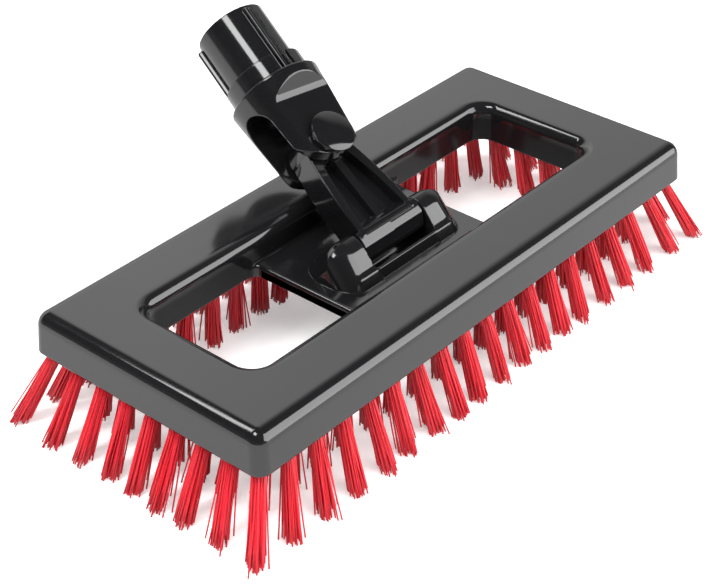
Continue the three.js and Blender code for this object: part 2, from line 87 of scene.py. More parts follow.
# Block
half_length = block_high[0]
half_width = block_high[1]
block_height = 15.2
side_draft = math.radians(3.7)
corner_radius = 4.7
outer_edge = 4.8
inner_edge = 4.2
bottom_edge = 0.5
long_rail = 25.8
end_rail = 25.0
window_corner = 7.0
bridge_half = 36.5
bridge_thickness = 4.7
bridge_corner = 3.0
bridge_edge = 1.3
bridge_fillet = 0.8
rail_overlap = 3.0

# Saddle on the bridge
lip_height = 8.3
lip_foot = 12.2
lip_lean = math.radians(28)
lip_half_length = 26.6
lip_end_radius = 3.6
lip_edge = 0.4
hump_height = 18.0
hump_slope = math.radians(52)
hump_foot = 9.9
hump_half_length = 31.0
hump_end_lean = math.radians(5)
hump_end_radius = 8.5
hump_crown = 3.6
hump_fillet = 1.6
saddle_fillet = 0.15
cheek_half = 15.8
cheek_edge = 0.5
trough_floor = 1.6

# Axle and its bore
axle_bore = 2.8
axle_half = 23.3
bore_edge = 0.35

# Swivel link
link_half = 6.0
eye_radius = 9.0
root_half = 13.4
root_start = 3.5
link_waist = 1.85
flange_root = 2.6
flange_top = 4.0
rib_half = 1.7
rib_drop = 2.0
groove_floor = 1.5
groove_start = 3.2
groove_end = 31.5
groove_round = 2.0
barrel_radius = 6.4
knuckle_half = 15.4
bevel_start = 1.1
bevel_end = -2.0
bevel_drop = 0.8
foot_length = 6.0
foot_half = 1.2
foot_round = 1.1
link_edge = 0.5
crisp_edge = 0.3
seam_step = 0.14

# Handle socket
sleeve_radius = 13.2
bore_radius = 10.9
bore_depth = 32.0
collar_radius = 15.2
collar_end = 35.2
fork_radius = 17.8
fork_end = 27.8
fork_taper = math.radians(5)
fork_edge = 0.9
ear_flat = 11.9
flat_end = 19.2
ramp_rise = math.radians(50)
ramp_fillet = 1.5
nose_radius = 15.1
nose_centre = 7.9
nose_edge = 0.35
slot_half = 7.2
slot_end = 20.8
socket_edge = 0.5
rib_edge = 0.8
sleeve_rib_count = 3
sleeve_rib_turn = math.radians(-4)
sleeve_rib_half = 0.85
sleeve_rib_radius = 15.1
sleeve_rib_end = 55.4
notch_left = 2.6
notch_right = 4.4
flute_width = 3.8
flute_depth = 0.2

# Swing pin and its cap
pin_radius = 4.0
pin_bore = 4.3
pin_seat = 12.2
head_radius = 8.2
head_rim = 2.2
head_edge = 0.45
head_spread = math.radians(18)
cap_radius = 6.5
cap_rim = 1.3
cap_crown = 1.2
cap_gap = 0.3
pin_tip = 13.5
turned_edge = 0.25

# Bristles
row_inset = 6.5
row_spacing = 9.5
long_tufts = 19
end_tufts = 9
long_splay = 10.0
end_splay = 13.5
inner_splay = 1.5
long_fan = 13.0
end_fan = 10.0
fan_power = 3
inner_fan_share = 0.5
filaments_per_tuft = 84
filament_radius = 0.28
filament_sides = 5
filament_rings = 5
tuft_root_radius = 2.1
tuft_tip_radius = 2.7
filament_root = 0.8
filament_bow = 0.6
tip_wander = 0.65
tip_unevenness = 4.5
stray_share = 0.05
stray_reach = 2.6
least_stray = 0.4
tuft_wander = 0.7


# Fields

def meet(a, b, radius):
    """Inside both solids, with the edge between them rounded."""
    rounding = np.hypot(np.maximum(a + radius, 0), np.maximum(b + radius, 0))
    return np.minimum(-radius, np.maximum(a, b)) + rounding


def join(a, b, radius):
    """Inside either solid, with a fillet where they meet."""
    return -meet(-a, -b, radius)


def cut(a, b, radius):
    """The first solid without the second, with a rounded edge round the cut."""
    return meet(a, -b, radius)


def rectangle(x, y, half_x, half_y, radius):
    """Distance outside a rectangle about the Z axis, with round corners."""
    out_x = np.abs(x) - half_x + radius
    out_y = np.abs(y) - half_y + radius
    outside = np.hypot(np.maximum(out_x, 0), np.maximum(out_y, 0))
    return outside + np.minimum(np.maximum(out_x, out_y), 0) - radius


def slope_line(along, across, start, rise, angle):
    """Distance outside a line that starts at (start, rise) and leans back by angle from the across axis."""
    return (along - start) * math.cos(angle) + (across - rise) * math.sin(angle)


def saddle_field(x, y, z):
    side_x = np.abs(x)
    side_y = np.abs(y - tilt_axis[1])
    lip = meet(slope_line(side_y, z, lip_foot, bridge_thickness, lip_lean), z - lip_height, lip_edge)
    lip = meet(lip, side_x - lip_half_length, lip_end_radius)
    slope = slope_line(side_y, z, hump_foot, lip_height, math.pi / 2 - hump_slope)
    hump = meet(slope, z - hump_height, hump_crown)
    end = slope_line(side_x, z, hump_half_length, bridge_thickness, hump_end_lean)
    hump = meet(hump, end, hump_end_radius)
    hump = cut(hump, side_x - cheek_half, cheek_edge)
    return join(lip, hump, hump_fillet)


def block_field(x, y, z):
    lean = math.tan(side_draft)
    side = rectangle(x, y, half_length - lean * z, half_width - lean * z, corner_radius)
    side = side * math.cos(side_draft)
    well_length = half_length - end_rail
    well_width = half_width - long_rail
    well = rectangle(x, y, well_length, well_width, window_corner)
    window_half = (well_length - bridge_half) / 2
    window = rectangle(np.abs(x) - bridge_half - window_half, y, window_half, well_width, bridge_corner)
    rails = cut(meet(side, z - block_height, outer_edge), well, inner_edge)
    plate = np.maximum(cut(z - bridge_thickness, window, bridge_edge), well - rail_overlap)
    plate = np.maximum(plate, np.abs(x) - bridge_half - bridge_corner)
    solid = join(rails, plate, bridge_fillet)
    solid = join(solid, saddle_field(x, y, z), saddle_fillet)
    from_axis = np.hypot(y - tilt_axis[1], z - tilt_axis[2])
    trough = np.maximum(from_axis - tilt_axis[2] + trough_floor, np.abs(x) - cheek_half)
    solid = cut(solid, trough, cheek_edge)
    bore = np.maximum(from_axis - axle_bore, np.maximum(-axle_half - x, x - bridge_half))
    solid = cut(solid, bore, bore_edge)
    return meet(solid, -z, bottom_edge)


def link_half_width(along):
    share = np.clip((along - root_start) / (link_reach - root_start), 0, 1)
    return root_half - (root_half - eye_radius) * share ** link_waist


def link_field(x, y, z):
    side = np.abs(x)
    face = np.abs(z)
    half = link_half_width(y) - seam_step * (z < 0)
    arm = np.maximum(np.maximum(side - half, bevel_start - y), y - link_reach)
    eye = np.hypot(x, y - link_reach) - eye_radius
    solid = meet(np.minimum(arm, eye), face - link_half, link_edge)
    flange_share = np.clip((y - groove_start) / (groove_end - groove_start), 0, 1)
    flange = flange_root + (flange_top - flange_root) * flange_share
    groove = np.maximum(np.maximum(rib_half - side, side - half + flange), groove_start - y)
    groove = np.maximum(meet(groove, y - groove_end, groove_round), groove_floor - face)
    solid = cut(solid, groove, link_edge)
    rib_top = link_half - rib_drop * (1 - flange_share)
    above_rib = np.maximum(np.maximum(side - rib_half - crisp_edge, rib_top - face), groove_start - y)
    solid = cut(solid, np.maximum(above_rib, y - groove_end), crisp_edge)
    bevel_lean = math.atan2(bevel_drop, bevel_start - bevel_end)
    bevel_height = link_half - bevel_drop
    foot_lean = math.atan2(bevel_height - foot_half, bevel_end + foot_length)
    bevel = slope_line(face, -y, link_half, -bevel_start, bevel_lean) + seam_step * (x < 0)
    foot = slope_line(face, -y, bevel_height, -bevel_end, foot_lean)
    knuckle = meet(meet(face - link_half, bevel, crisp_edge), foot, crisp_edge)
    knuckle = meet(knuckle, -foot_length - y, foot_round)
    knuckle = meet(meet(knuckle, y - root_start, crisp_edge), side - knuckle_half, link_edge)
    from_axle = np.hypot(y, z)
    barrel = np.maximum(from_axle - barrel_radius, bevel_start - y)
    barrel = meet(barrel, side - root_half + flange_root / 2, link_edge)
    solid = join(join(solid, knuckle, crisp_edge), barrel, crisp_edge)
    solid = cut(solid, from_axle - axle_bore, bore_edge)
    return cut(solid, np.hypot(x, y - link_reach) - pin_bore, bore_edge)


def sleeve_rib_axes(x, z, rib):
    """How far a point lies out along a rib's middle plane, and how far across it."""
    turn = sleeve_rib_turn + 2 * math.pi * rib / sleeve_rib_count
    return x * math.sin(turn) + z * math.cos(turn), x * math.cos(turn) - z * math.sin(turn)


def sleeve_field(x, y, z):
    """The sleeve with its ribs and its collar, which has a notch where the front rib passes through it."""
    radial = np.hypot(x, z)
    out, across = sleeve_rib_axes(x, z, 0)
    notch = np.maximum(np.maximum(-notch_left - across, across - notch_right), -out)
    collar = cut(meet(radial - collar_radius, y - collar_end, socket_edge), notch, crisp_edge)
    sleeve = meet(radial - sleeve_radius, y - sleeve_end, socket_edge)
    flute = np.maximum(np.maximum(-across, across - flute_width), sleeve_radius - flute_depth - radial)
    sleeve = cut(sleeve, np.maximum(np.maximum(flute, -out), y - sleeve_rib_end), flute_depth / 2)
    sleeve = join(sleeve, collar, crisp_edge)
    for rib in range(sleeve_rib_count):
        out, across = sleeve_rib_axes(x, z, rib)
        bar = meet(np.abs(across) - sleeve_rib_half, out - sleeve_rib_radius, rib_edge)
        sleeve = join(sleeve, np.maximum(meet(bar, y - sleeve_rib_end, rib_edge), -out), crisp_edge)
    return sleeve


def fork_field(x, y, z):
    """A cone cut to two ears, with round noses, flats that end in ramps, and the slot between them."""
    fork = np.hypot(x, z) - fork_radius + (fork_end - y) * math.tan(fork_taper)
    fork = meet(fork, y - fork_end, fork_edge)
    above = np.maximum(y - nose_centre, 0)
    below = np.minimum(y - nose_centre, 0)
    nose = np.hypot(x, below) - nose_radius - above
    fork = meet(fork, nose, nose_edge)
    ramp = slope_line(np.abs(z), -y, ear_flat, -flat_end, ramp_rise)
    relief = meet(ear_flat - np.abs(z), -ramp, ramp_fillet)
    fork = cut(fork, relief, crisp_edge)
    slot = np.hypot(np.maximum(y - slot_end + slot_half, 0), z) - slot_half
    return cut(fork, slot, socket_edge)


def socket_field(x, y, z):
    sleeve = np.maximum(sleeve_field(x, y, z), fork_end - fork_edge - y)
    solid = join(fork_field(x, y, z), sleeve, crisp_edge)
    bore = np.maximum(np.hypot(x, z) - bore_radius, sleeve_end - bore_depth - y)
    solid = cut(solid, bore, socket_edge)
    return cut(solid, np.hypot(x, y) - pin_bore, bore_edge)


# Meshes from fields

slope_reach = 0.02
least_slope = 0.1
pull_passes = 4
turned_segments = 96


def graded(zones):
    """Places along an axis, from zones of (start, end, step) that follow each other."""
    runs = []
    for start, end, step in zones:
        count = max(1, round((end - start) / step))
        runs.append(np.linspace(start, end, count, endpoint=False))
    return np.concatenate([*runs, [zones[-1][1]]])


def mirrored(zones):
    """Places on both sides of zero, from zones on the positive side."""
    half = graded(zones)
    return np.concatenate([-half[:0:-1], half])


def slope_of(field, points):
    columns = []
    for axis in range(3):
        step = np.zeros(3)
        step[axis] = slope_reach
        columns.append((field(*(points + step).T) - field(*(points - step).T)) / (2 * slope_reach))
    return np.stack(columns, 1)


def surface_net(field, *axes):
    """Quads on a field's zero level: one point in each grid cell that the level passes through."""
    value = field(*np.meshgrid(*axes, indexing="ij"))
    cells = [len(axis) - 1 for axis in axes]
    # Each grid line that crosses the level gives a quad of the four cells round it
    crossings = []
    quads = []
    for axis in range(3):
        low = value.take(range(cells[axis]), axis)
        high = value.take(range(1, cells[axis] + 1), axis)
        place = np.argwhere((low < 0) != (high < 0))
        start = low[tuple(place.T)]
        share = start / (start - high[tuple(place.T)])
        point = np.stack([axes[i][place[:, i]] for i in range(3)], 1)
        point[:, axis] += share * (axes[axis][place[:, axis] + 1] - point[:, axis])
        corners = []
        for back_one, back_two in ((0, 0), (1, 0), (1, 1), (0, 1)):
            cell = place.copy()
            cell[:, (axis + 1) % 3] -= back_one
            cell[:, (axis + 2) % 3] -= back_two
            corners.append(np.ravel_multi_index(cell.T, cells))
        quad = np.stack(corners, 1)
        quad[start > 0] = quad[start > 0][:, ::-1]
        crossings.append(point)
        quads.append(quad)
    index = np.unique(np.concatenate(quads), return_inverse=True)[1].reshape(-1, 4)
    # A cell's point starts at the mean of its crossings and is then pulled onto the level
    crossing = np.repeat(np.concatenate(crossings), 4, axis=0)
    count = np.bincount(index.ravel())
    points = np.stack([np.bincount(index.ravel(), crossing[:, i]) / count for i in range(3)], 1)
    for _ in range(pull_passes):
        slope = slope_of(field, points)
        steepness = np.maximum((slope ** 2).sum(1), least_slope)
        points -= slope * (field(*points.T) / steepness)[:, None]
    return points, index


def add_piece(name, points, faces, normals=None, flat_corners=None):
    """A smooth piece from points in millimetres. Only faces with flat_corners corners are flat."""
    mesh = bpy.data.meshes.new(name)
    mesh.from_pydata((points / MM_PER_M).tolist(), [], faces)
    mesh.polygons.foreach_set("use_smooth", [len(face) != flat_corners for face in faces])
    if normals is not None:
        mesh.normals_split_custom_set_from_vertices(normals.tolist())
    piece = bpy.data.objects.new(name, mesh)
    bpy.context.scene.collection.objects.link(piece)
    return piece


class Axes:
    """A piece's own frame: its origin, and the directions that are its Y and its Z."""

    def __init__(self, origin, along, out):
        self.origin = origin
        self.turn = np.stack([np.cross(along, out), along, out])

    def place(self, points):
        return points @ self.turn + self.origin


def field_piece(name, field, axes, grid):
    points, faces = surface_net(field, *grid)
    slope = slope_of(field, points)
    normals = slope / np.linalg.norm(slope, axis=1)[:, None]
    return add_piece(name, axes.place(points), faces.tolist(), normals @ axes.turn)


def turned_piece(name, profile, axes):
    """A profile of (radius, height) points, from axis to axis, turned about the frame's Z."""
    segments = turned_segments
    inner = np.array(profile[1:-1])
    turn = 2 * np.pi * np.arange(segments) / segments
    rings = np.stack(
        [
            np.outer(inner[:, 0], np.cos(turn)),
            np.outer(inner[:, 0], np.sin(turn)),
            np.repeat(inner[:, 1:], segments, axis=1),
        ],
        2,
    )
    ends = [[0, 0, profile[0][1]], [0, 0, profile[-1][1]]]
    points = np.concatenate([rings.reshape(-1, 3), ends])
    faces = []
    first_end = len(points) - 2
    for step in range(segments):
        after = (step + 1) % segments
        faces.append((first_end, after, step))
        for ring in range(len(inner) - 1):
            low = ring * segments
            high = low + segments
            faces.append((low + step, low + after, high + after, high + step))
        last = (len(inner) - 1) * segments
        faces.append((first_end + 1, last + step, last + after))
    return add_piece(name, axes.place(points), faces)


def arc(centre, radius, start, end, count):
    """Points of an arc between two angles in degrees; the radius may be a pair, for an ellipse."""
    wide, high = radius if isinstance(radius, tuple) else (radius, radius)
    turns = np.radians(np.linspace(start, end, count))
    return [(centre[0] + wide * math.cos(turn), centre[1] + high * math.sin(turn)) for turn in turns]


# Pieces

block_axes = Axes(np.zeros(3), np.array([0.0, 1.0, 0.0]), np.array([0.0, 0.0, 1.0]))
link_axes = Axes(tilt_axis, (pin_centre - tilt_axis) / link_reach, pin_direction)
socket_axes = Axes(pin_centre, sleeve_direction, pin_direction)

# Steps of the grids, of which the block's is fine only near its edges
coarse_grid = 2.2
fine_grid = 0.5
link_grid = 0.4
seam_grid = 0.1
socket_grid = 0.45
grid_margin = 1.0

# Arcs of the turned profiles: the dome starts past its rim's arc, and both crowns end short of the axis
edge_points = 4
rim_points = 8
dome_points = 24
crown_points = 20
dome_gap = 1.0
dome_end = 89.5
crown_end = 88.0


def make_block():
    well_length = half_length - end_rail
    well_width = half_width - long_rail
    places_x = mirrored([
        (0, bridge_half + window_corner, fine_grid),
        (bridge_half + window_corner, well_length - window_corner, coarse_grid),
        (well_length - window_corner, well_length + inner_edge, fine_grid),
        (well_length + inner_edge, half_length - 2 * corner_radius, coarse_grid),
        (half_length - 2 * corner_radius, half_length + grid_margin, fine_grid),
    ])
    places_y = mirrored([
        (0, well_width + inner_edge, fine_grid),
        (well_width + inner_edge, half_width - 2 * corner_radius, coarse_grid),
        (half_width - 2 * corner_radius, half_width + grid_margin, fine_grid),
    ])
    places_z = graded([(-grid_margin, hump_height + grid_margin, fine_grid)])
    return field_piece("block_shell", block_field, block_axes, (places_x, places_y, places_z))


def make_link():
    places_x = mirrored([(0, knuckle_half + grid_margin, link_grid)])
    places_y = graded([(-foot_length - grid_margin, link_reach + eye_radius + grid_margin, link_grid)])
    places_z = mirrored([(0, link_grid, seam_grid), (link_grid, link_half + grid_margin, link_grid)])
    return field_piece("link_arm", link_field, link_axes, (places_x, places_y, places_z))


def make_socket():
    across = mirrored([(0, fork_radius + grid_margin, socket_grid)])
    along = graded([(-fork_radius, sleeve_end + grid_margin, socket_grid)])
    return field_piece("socket_shell", socket_field, socket_axes, (across, along, across))


def make_pin():
    rim_top = pin_seat + head_rim
    edge = turned_edge
    dome_half = head_radius - head_edge + head_edge * math.sin(head_spread)
    dome_radius = dome_half / math.sin(head_spread)
    dome_foot = rim_top - head_edge + head_edge * math.cos(head_spread)
    dome_centre = dome_foot - dome_radius * math.cos(head_spread)
    dome_start = 90 - math.degrees(head_spread)
    profile = [
        (0, -pin_tip),
        *arc((pin_radius - edge, edge - pin_tip), edge, -90, 0, edge_points),
        (pin_radius, pin_seat - edge),
        (pin_radius, pin_seat),
        *arc((head_radius - edge, pin_seat + edge), edge, -90, 0, edge_points),
        *arc((head_radius - head_edge, rim_top - head_edge), head_edge, 0, dome_start, rim_points),
        *arc((0, dome_centre), dome_radius, dome_start + dome_gap, dome_end, dome_points),
        (0, dome_centre + dome_radius),
    ]
    return turned_piece("pin_head", profile, socket_axes)


def make_cap():
    rim_top = pin_seat + cap_rim
    edge = turned_edge
    inside = pin_tip + cap_gap
    profile = [
        (0, inside),
        (pin_bore, inside),
        (pin_bore, pin_seat),
        *arc((cap_radius - edge, pin_seat + edge), edge, -90, 0, edge_points),
        *arc((0, rim_top), (cap_radius, cap_crown), 0, crown_end, crown_points),
        (0, rim_top + cap_crown),
    ]
    flipped = Axes(pin_centre, sleeve_direction, -pin_direction)
    return turned_piece("cap_dome", profile, flipped)


# Tufts of filaments

outer_x = half_length - row_inset
outer_y = half_width - row_inset
long_pitch = 2 * outer_x / (long_tufts - 1)
end_pitch = 2 * outer_y / (end_tufts - 1)
inner_x = outer_x - long_pitch
inner_y = outer_y - row_spacing
inner_end_tufts = end_tufts - 2
inner_end_pitch = 2 * inner_y / (inner_end_tufts - 1)
same_place = 1e-6


def tip_of(x, y):
    """Where a tuft's centre line meets the floor: rows lean out and fan out towards the corners."""
    fan_x = long_fan * (x / outer_x) ** fan_power
    fan_y = end_fan * (y / outer_y) ** fan_power
    on_long_edge = math.isclose(abs(y), outer_y)
    on_end_edge = math.isclose(abs(x), outer_x)
    if on_long_edge and on_end_edge:
        return x + math.copysign(end_splay, x), y + math.copysign(long_splay, y)
    if on_long_edge:
        return x + fan_x, y + math.copysign(long_splay, y)
    if on_end_edge:
        return x + math.copysign(end_splay, x), y + fan_y
    out_x = math.copysign(inner_splay, x) if abs(x) > inner_x - same_place else 0
    out_y = math.copysign(inner_splay, y) if abs(y) > inner_y - same_place else 0
    return x + out_x + inner_fan_share * fan_x, y + out_y


def row_places(count, pitch):
    return [(i - (count - 1) / 2) * pitch for i in range(count)]


def long_rail_tufts(side):
    outer = [(x, side * outer_y) for x in row_places(long_tufts, long_pitch)]
    inner = [(x, side * inner_y) for x in row_places(long_tufts - 2, long_pitch)]
    return outer + inner


def end_rail_tufts(side):
    outer = [(side * outer_x, y) for y in row_places(end_tufts - 2, end_pitch)]
    inner = [(side * inner_x, y) for y in row_places(inner_end_tufts - 2, inner_end_pitch)]
    return outer + inner


def filament_lines(places, draw):
    """Centre lines of all filaments in the tufts at those places, spread by the golden angle."""
    lines = []
    golden_angle = math.pi * (3 - math.sqrt(5))
    share = np.linspace(0, 1, filament_rings)[:, None]
    for x, y in places:
        tip_x, tip_y = tip_of(x, y) + draw.normal(0, tuft_wander, 2)
        spin = draw.uniform(0, 2 * math.pi)
        for i in range(filaments_per_tuft):
            out = math.sqrt((i + 0.5) / filaments_per_tuft)
            turn = spin + i * golden_angle
            side = np.array([math.cos(turn), math.sin(turn), 0])
            root = np.array([x, y, filament_root]) + side * out * tuft_root_radius
            reach = out * tuft_tip_radius
            if draw.random() < stray_share:
                reach += draw.uniform(least_stray, 1) * stray_reach
            lift = tip_unevenness * draw.random() ** 2
            tip = np.array([tip_x, tip_y, floor_height]) + side * reach
            tip[:2] += draw.normal(0, tip_wander, 2)
            tip = tip + (root - tip) * lift / (root[2] - tip[2])
            bow = np.array([*draw.normal(0, 1, 2), 0]) * filament_bow
            lines.append(root + (tip - root) * share + bow * share * (1 - share))
    return np.array(lines)


def make_tufts(name, places, seed):
    lines = filament_lines(places, np.random.default_rng(seed))
    turn = 2 * np.pi * np.arange(filament_sides) / filament_sides
    ring = filament_radius * np.stack([np.cos(turn), np.sin(turn), np.zeros(filament_sides)], 1)
    points = (lines[:, :, None, :] + ring).reshape(-1, 3)
    wall = []
    for level in range(filament_rings - 1):
        for step in range(filament_sides):
            after = (step + 1) % filament_sides
            low = level * filament_sides
            high = low + filament_sides
            wall.append((low + after, low + step, high + step, high + after))
    per_filament = filament_rings * filament_sides
    top = tuple(range(filament_sides))
    tip = tuple(range(per_filament - 1, per_filament - filament_sides - 1, -1))
    faces = []
    for filament in range(len(lines)):
        start = filament * per_filament
        faces.extend(tuple(start + corner for corner in face) for face in (*wall, top, tip))
    return add_piece(name, points, faces, flat_corners=filament_sides)


# Materials

block_dark = (0.006, 0.006, 0.0065)
block_light = (0.011, 0.011, 0.012)
swivel_dark = (0.005, 0.005, 0.0055)
swivel_light = (0.009, 0.009, 0.01)
filament_deep = (0.71, 0.013, 0.026)
filament_bright = (0.81, 0.026, 0.047)
steel_dark = (0.5, 0.5, 0.52)
steel_light = (0.72, 0.72, 0.74)

# Stretches of a pattern along filaments, which run upright, and along the axle
filament_stretch = (1, 1, 0.04)
axle_stretch = (0.03, 1, 1)

# Shine of the plastic, and the lower shine that paints shade on the windows' walls, within a band that fades out
# and ends below the rails' edge
plain_shine = 0.5
shaded_wall_shine = 0.12
wall_band = 0.3
wall_fade = 1.0
wall_shade_top = 9.0
wall_shade_end = 12.0

# Most values of a noise lie between these
noise_low = 0.3
noise_high = 0.7


class Nodes:
    """A short way to add and link shader nodes."""

    def __init__(self, owner, shader="Principled BSDF", place="Object"):
        owner.use_nodes = True
        self.owner = owner
        self.tree = owner.node_tree
        self.shader = self.tree.nodes[shader]
        self.place = self.add("ShaderNodeTexCoord").outputs[place]

    def add(self, kind, **inputs):
        node = self.tree.nodes.new(kind)
        for name, value in inputs.items():
            self.set(node, name.replace("_", " "), value)
        return node

    def set(self, node, name, value):
        socket = next(s for s in node.inputs if s.name.lower() == name.lower() and s.enabled)
        self.feed(socket, value)

    def feed(self, socket, value):
        """Links another node's output to a socket, or sets the socket to a plain value."""
        if isinstance(value, bpy.types.NodeSocket):
            self.tree.links.new(value, socket)
        else:
            socket.default_value = value

    def math(self, operation, first, second):
        node = self.tree.nodes.new("ShaderNodeMath")
        node.operation = operation
        self.feed(node.inputs[0], first)
        self.feed(node.inputs[1], second)
        return node.outputs["Value"]

    def vector(self, operation, first, second=None):
        node = self.tree.nodes.new("ShaderNodeVectorMath")
        node.operation = operation
        self.feed(node.inputs[0], first)
        if second is not None:
            self.feed(node.inputs[1], second)
        return node.outputs["Value" if operation == "LENGTH" else "Vector"]

    def scaled(self, scale):
        """The object's own coordinates, scaled along each axis."""
        return self.add("ShaderNodeMapping", vector=self.place, scale=scale).outputs["Vector"]

    def noise(self, scale, detail, place=None):
        node = self.add("ShaderNodeTexNoise", vector=place or self.place, scale=scale, detail=detail)
        return node.outputs["Fac"]

    def ramp(self, value, start, end, low=0.0, high=1.0):
        """A value between two ends, mapped to a range and kept in it."""
        ends = {"from_min": start, "from_max": end, "to_min": low, "to_max": high}
        return self.add("ShaderNodeMapRange", value=value, **ends).outputs["Result"]

    def spread(self, noise, low, high):
        """A noise, mapped to a range."""
        return self.ramp(noise, noise_low, noise_high, low, high)

    def blend(self, value, first, last):
        """A colour between two, by a value from 0 to 1."""
        node = self.add("ShaderNodeValToRGB", fac=value)
        node.color_ramp.elements[0].color = (*first, 1)
        node.color_ramp.elements[1].color = (*last, 1)
        return node.outputs["Color"]

    def bump(self, height, strength, distance, below=None):
        node = self.add("ShaderNodeBump", height=height, strength=strength, distance=distance)
        if below is not None:
            self.feed(node.inputs["Normal"], below)
        return node.outputs["Normal"]

    def finish(self, **inputs):
        for name, value in inputs.items():
            self.set(self.shader, name.replace("_", " "), value)
        return self.owner


def window_wall_shade(nodes):
    """1 on the upright walls inside the windows, where a lower shine paints shade into their reflections, and 0
    elsewhere.
    """
    reach = (half_length - end_rail - window_corner, half_width - long_rail - window_corner, 0)
    place = nodes.scaled((MM_PER_M, MM_PER_M, MM_PER_M))
    height = nodes.add("ShaderNodeSeparateXYZ", vector=place).outputs["Z"]
    level = nodes.vector("MULTIPLY", nodes.vector("ABSOLUTE", place), (1, 1, 0))
    past = nodes.vector("MAXIMUM", nodes.vector("SUBTRACT", level, reach), (0, 0, 0))
    out = nodes.math("SUBTRACT", nodes.vector("LENGTH", past), window_corner)
    near = nodes.ramp(out, -wall_fade, -wall_band)
    far = nodes.ramp(out, wall_band, wall_fade, 1, 0)
    low = nodes.ramp(height, wall_shade_top, wall_shade_end, 1, 0)
    return nodes.math("MULTIPLY", nodes.math("MULTIPLY", near, far), low)


def moulded_plastic(name, dark, light, smooth, rough, painted_shade_places=None):
    """Glossy moulded plastic: uneven gloss, a slow ripple in its skin and a fine grain."""
    nodes = Nodes(bpy.data.materials.new(name))
    shine = plain_shine
    # A lower shine in the given places paints shade into their reflections
    if painted_shade_places is not None:
        shine = nodes.ramp(painted_shade_places(nodes), 0, 1, plain_shine, shaded_wall_shine)
    ripple = nodes.bump(nodes.noise(scale=45, detail=1), strength=0.1, distance=0.0006)
    grain = nodes.bump(nodes.noise(scale=1500, detail=3), strength=0.05, distance=0.00008, below=ripple)
    return nodes.finish(
        base_color=nodes.blend(nodes.noise(scale=25, detail=4), dark, light),
        roughness=nodes.spread(nodes.noise(scale=60, detail=5), smooth, rough),
        ior=1.7,
        specular_ior_level=shine,
        normal=grain,
    )


def filament_plastic(name, deep, bright):
    """Extruded filament: each one has its own shade, and its skin is drawn lengthwise."""
    nodes = Nodes(bpy.data.materials.new(name))
    own = nodes.add("ShaderNodeNewGeometry").outputs["Random Per Island"]
    lines = nodes.noise(scale=4000, detail=2, place=nodes.scaled(filament_stretch))
    return nodes.finish(
        base_color=nodes.blend(own, deep, bright),
        roughness=nodes.spread(nodes.noise(scale=800, detail=2), low=0.3, high=0.45),
        normal=nodes.bump(lines, strength=0.15, distance=0.00005),
    )


def drawn_steel(name, dark, light):
    """Steel bar with fine lines along it."""
    nodes = Nodes(bpy.data.materials.new(name))
    lines = nodes.noise(scale=5000, detail=3, place=nodes.scaled(axle_stretch))
    return nodes.finish(
        base_color=nodes.blend(lines, dark, light),
        roughness=nodes.spread(lines, low=0.25, high=0.45),
        metallic=1.0,
        normal=nodes.bump(lines, strength=0.2, distance=0.00003),
    )


# Stage

floor_half = 4000.0
floor_glow = 0.4
floor_dull = 0.5
floor_bright = 0.95


def make_floor():
    """A white floor that keeps the shadows, and is duller where it shows in glossy surfaces."""
    signs = ((-1, -1), (1, -1), (1, 1), (-1, 1))
    corners = np.array([(x * floor_half, y * floor_half, floor_height) for x, y in signs])
    floor = add_piece("floor", corners, [(0, 1, 2, 3)], flat_corners=4)
    nodes = Nodes(bpy.data.materials.new("floor_white"))
    seen = nodes.add("ShaderNodeLightPath").outputs
    plain_ray = nodes.math("MAXIMUM", seen["Is Camera Ray"], seen["Is Diffuse Ray"])
    mirrored_ray = nodes.math("MAXIMUM", seen["Is Glossy Ray"], seen["Is Transmission Ray"])
    background_ray = nodes.math("MAXIMUM", mirrored_ray, seen["Is Camera Ray"])
    material = nodes.finish(
        base_color=nodes.ramp(plain_ray, 0, 1, floor_dull, floor_bright),
        roughness=1.0,
        specular_ior_level=0.0,
        emission_color=(1, 1, 1, 1),
        emission_strength=nodes.math("MULTIPLY", background_ray, floor_glow),
    )
    floor.data.materials.append(material)


# Power of a lamp of one square metre, for each unit of its radiance
power_per_area = 4.0


def add_panel(name, azimuth, elevation, distance, width, height, radiance, roll=0, in_reflections=True):
    """A rectangular lamp that faces the object, in metres. Azimuth runs from +X towards +Y."""
    lamp = bpy.data.lights.new(name, "AREA")
    lamp.shape = "RECTANGLE"
    lamp.size = width
    lamp.size_y = height
    lamp.energy = power_per_area * radiance * width * height
    turn = math.radians(azimuth)
    rise = math.radians(elevation)
    away = Vector((math.cos(rise) * math.cos(turn), math.cos(rise) * math.sin(turn), math.sin(rise)))
    panel = bpy.data.objects.new(name, lamp)
    panel.location = away * distance
    panel.rotation_mode = "QUATERNION"
    panel.rotation_quaternion = away.to_track_quat("Z", "Y") @ Quaternion((0, 0, 1), math.radians(roll))
    panel.visible_camera = False
    panel.visible_glossy = in_reflections
    bpy.context.scene.collection.objects.link(panel)


def light_scene():
    """Three panels that show in glossy surfaces, and three that only light the object."""
    add_panel(
        "right_panel", azimuth=-60, elevation=20.6, distance=2.0,
        width=2.08, height=1.58, radiance=3.3, roll=-41,
    )
    add_panel(
        "key_panel", azimuth=174, elevation=63, distance=1.6,
        width=0.6, height=0.42, radiance=7.0,
    )
    add_panel(
        "left_strip", azimuth=116.5, elevation=53.5, distance=2.0,
        width=0.99, height=0.152, radiance=6.2, roll=-47.6,
    )
    add_panel(
        "key_shadow", azimuth=164, elevation=48, distance=1.8,
        width=0.45, height=0.45, radiance=18.0, in_reflections=False,
    )
    add_panel(
        "soft_fill", azimuth=275, elevation=35, distance=2.2,
        width=2.5, height=2.5, radiance=0.5, in_reflections=False,
    )
    add_panel(
        "top_fill", azimuth=240, elevation=75, distance=2.2,
        width=1.5, height=1.5, radiance=3.0, in_reflections=False,
    )


